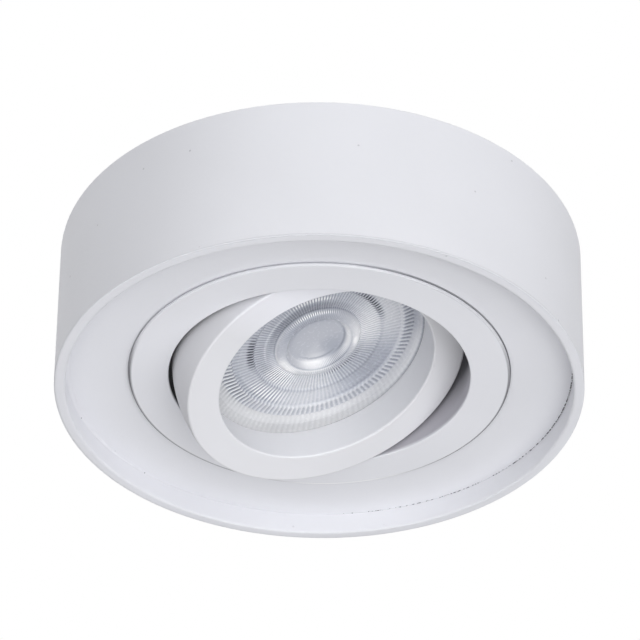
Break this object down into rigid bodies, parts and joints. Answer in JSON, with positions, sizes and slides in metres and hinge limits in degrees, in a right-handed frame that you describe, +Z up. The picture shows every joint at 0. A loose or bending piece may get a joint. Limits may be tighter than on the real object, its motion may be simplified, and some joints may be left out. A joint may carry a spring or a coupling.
{
  "type": "surface-mounted tilting downlight",
  "caption": "Round surface-mounted ceiling spotlight: white tube housing, recessed plate, spring-held trim ring and a tilting ring that carries a ribbed-lens lamp.",
  "frame": {"origin": "centre of the face that meets the ceiling", "axes": "+Z up into the ceiling, the light hangs below; the lamp tilts about Y and at rest points down and towards +X"},
  "size_m": [0.112, 0.112, 0.041],
  "materials": {
    "white_coat": "satin white powder coat with a fine texture",
    "zinc_steel": "bright zinc plate",
    "spring_steel": "polished spring steel",
    "black_rubber": "matte moulded rubber",
    "white_plastic": "moulded, fine matt grain",
    "brass": "turned",
    "clear_lens": "clear moulded acrylic",
    "cast_aluminium": "die cast, lightly blasted",
    "board": "white solder mask",
    "phosphor": "silicone over phosphor"
  },
  "bodies": {
    "housing": {"housing_tube": "white_coat", "screw_lugs": "cast_aluminium", "front_plate": "white_coat", "mounting_bar": "zinc_steel", "bar_screws": "zinc_steel", "cable_grommet": "black_rubber", "terminal_block": "white_plastic", "terminal_clamps": "brass", "terminal_screws": "zinc_steel", "terminal_fixing_screw": "zinc_steel", "earth_screw": "brass", "earth_washer": "zinc_steel"},
    "trim": {"trim_ring": "white_coat", "clip_pins": "zinc_steel", "pivot_washers": "zinc_steel"},
    "clip_right": {"clip_arm_right": "spring_steel", "clip_spring_right": "spring_steel"},
    "clip_left": {"clip_arm_left": "spring_steel", "clip_spring_left": "spring_steel"},
    "lamp": {"tilt_ring": "white_coat", "pivot_screws": "zinc_steel", "retaining_clip": "spring_steel", "lamp_lens": "clear_lens", "lamp_body": "cast_aluminium", "led_board": "board", "led_emitter": "phosphor", "driver_board": "board", "lamp_rear_cap": "white_plastic", "lead_gland": "black_rubber"}
  },
  "joints": [
    {"name": "trim_swivel", "type": "hinge", "parent": "housing", "child": "trim", "pos_m": [0, 0, -0.0293], "axis": [0, 0, 1], "range_deg": [-170, 170]},
    {"name": "lamp_tilt", "type": "hinge", "parent": "trim", "child": "lamp", "pos_m": [0, 0, -0.02505], "axis": [0, 1, 0], "range_deg": [-9.1, 50.9]},
    {"name": "clip_right_fold", "type": "hinge", "parent": "trim", "child": "clip_right", "pos_m": [0.0352, 0, -0.0246], "axis": [0, -1, 0], "range_deg": [0, 95], "stiffness_Nm_per_rad": 0.02, "springref_deg": -34.38},
    {"name": "clip_left_fold", "type": "hinge", "parent": "trim", "child": "clip_left", "pos_m": [-0.0352, 0, -0.0246], "axis": [0, 1, 0], "range_deg": [0, 95], "stiffness_Nm_per_rad": 0.02, "springref_deg": -34.38}
  ]
}
